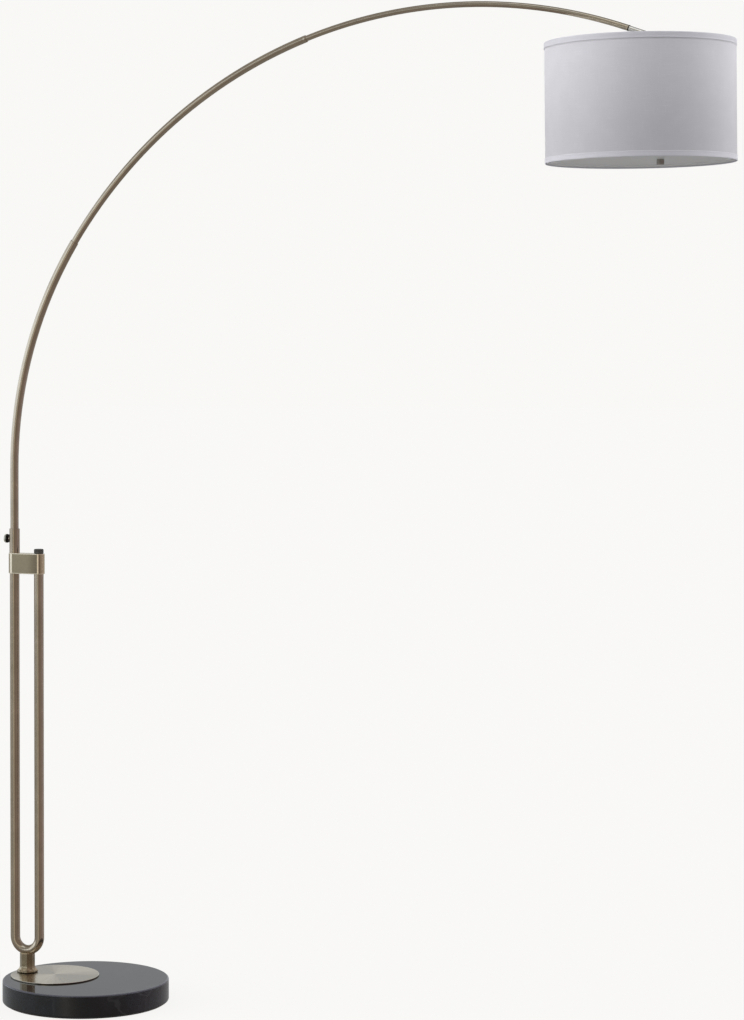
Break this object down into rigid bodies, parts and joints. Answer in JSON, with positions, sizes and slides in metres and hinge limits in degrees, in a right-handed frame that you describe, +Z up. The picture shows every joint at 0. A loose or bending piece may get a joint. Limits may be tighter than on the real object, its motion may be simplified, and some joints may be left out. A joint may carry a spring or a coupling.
{
  "type": "arc floor lamp",
  "caption": "Arc floor lamp: round stone slab, forked pole with bracket and dimmer, long arched tube in stepped sizes, hanging drum shade with diffuser.",
  "frame": {"origin": "centre of the felt pad's underside, where the lamp stands on the floor", "axes": "+Z up; +X from the pole along the arc towards the shade; +Y across the arc, away from the side of the bracket without screws"},
  "size_m": [1.7076, 0.4064, 2.2498],
  "materials": {
    "felt": "pressed felt",
    "black_marble": "polished, faint veins",
    "brushed_brass": "circular brushed, champagne tone",
    "antique_brass": "antiqued and lacquered",
    "dark_bronze": "dark bronze, satin",
    "satin_nickel": "satin nickel plate",
    "zinc_steel": "zinc plated",
    "brass_contact": "bright stamped",
    "white_wire": "white powder coat",
    "white_linen": "plain weave on a stiff liner",
    "frosted_acrylic": "frosted",
    "porcelain": "glazed",
    "opal_glass": "inside frosted",
    "black_plastic": "moulded",
    "clear_cable": "translucent insulation"
  },
  "bodies": {
    "stand": {"felt_pad": "felt", "marble_base": "black_marble", "base_plate": "brushed_brass", "neck_casting": "antique_brass", "base_stud": "zinc_steel", "stud_washer": "zinc_steel", "stud_nut": "zinc_steel", "cord_gland": "black_plastic", "fork_tube": "antique_brass", "bracket": "antique_brass", "bracket_screws": "dark_bronze", "collar": "antique_brass", "leg_cap": "antique_brass", "dimmer_body": "black_plastic", "dimmer_nut": "dark_bronze", "mains_cable": "clear_cable", "switched_cable": "clear_cable"},
    "thumbscrew": {"thumbscrew": "dark_bronze"},
    "dimmer": {"dimmer_shaft": "dark_bronze", "dimmer_knob": "dark_bronze"},
    "bush": {"guide_bush": "black_plastic"},
    "arc": {"lower_tube": "antique_brass", "middle_tube": "antique_brass", "connector_tube": "antique_brass", "upper_tube": "antique_brass", "tube_coupling": "antique_brass", "arc_set_screws": "antique_brass", "tip_ring": "dark_bronze", "swivel_stem": "satin_nickel", "arc_cable": "clear_cable"},
    "head": {"swivel_yoke": "satin_nickel", "swivel_screw": "satin_nickel", "swivel_nut": "satin_nickel", "head_nipple": "zinc_steel", "shade_spider": "white_wire", "cluster_body": "satin_nickel", "socket_shell_front": "satin_nickel", "socket_core_front": "porcelain", "socket_contact_front": "brass_contact", "bulb_cap_front": "zinc_steel", "bulb_glass_front": "opal_glass", "socket_shell_back": "satin_nickel", "socket_core_back": "porcelain", "socket_contact_back": "brass_contact", "bulb_cap_back": "zinc_steel", "bulb_glass_back": "opal_glass", "centre_rod": "zinc_steel", "rod_nuts": "satin_nickel", "diffuser": "frosted_acrylic", "diffuser_washers": "clear_cable", "finial": "satin_nickel", "shade_drum": "white_linen", "top_hem_tape": "white_linen", "foot_hem_tape": "white_linen", "foot_ring": "white_wire"}
  },
  "joints": [
    {"name": "thumbscrew_turn", "type": "hinge", "parent": "stand", "child": "thumbscrew", "pos_m": [-0.181, 0, 1.061], "axis": [-1, 0, 0], "range_deg": [0, 360]},
    {"name": "dimmer_turn", "type": "hinge", "parent": "stand", "child": "dimmer", "pos_m": [-0.119, 0, 1.033], "axis": [0, 0, -1], "range_deg": [0, 300]},
    {"name": "arc_swivel", "type": "hinge", "parent": "stand", "child": "bush", "pos_m": [-0.181, 0, 1.059], "axis": [0, 0, 1], "range_deg": [-90, 90]},
    {"name": "arc_lift", "type": "slide", "parent": "bush", "child": "arc", "axis": [0, 0, 1], "range_m": [-0.13, 0.17]},
    {"name": "head_tilt", "type": "hinge", "parent": "arc", "child": "head", "pos_m": [1.33653, 0, 2.158], "axis": [0, 1, 0], "range_deg": [-30, 12]}
  ]
}
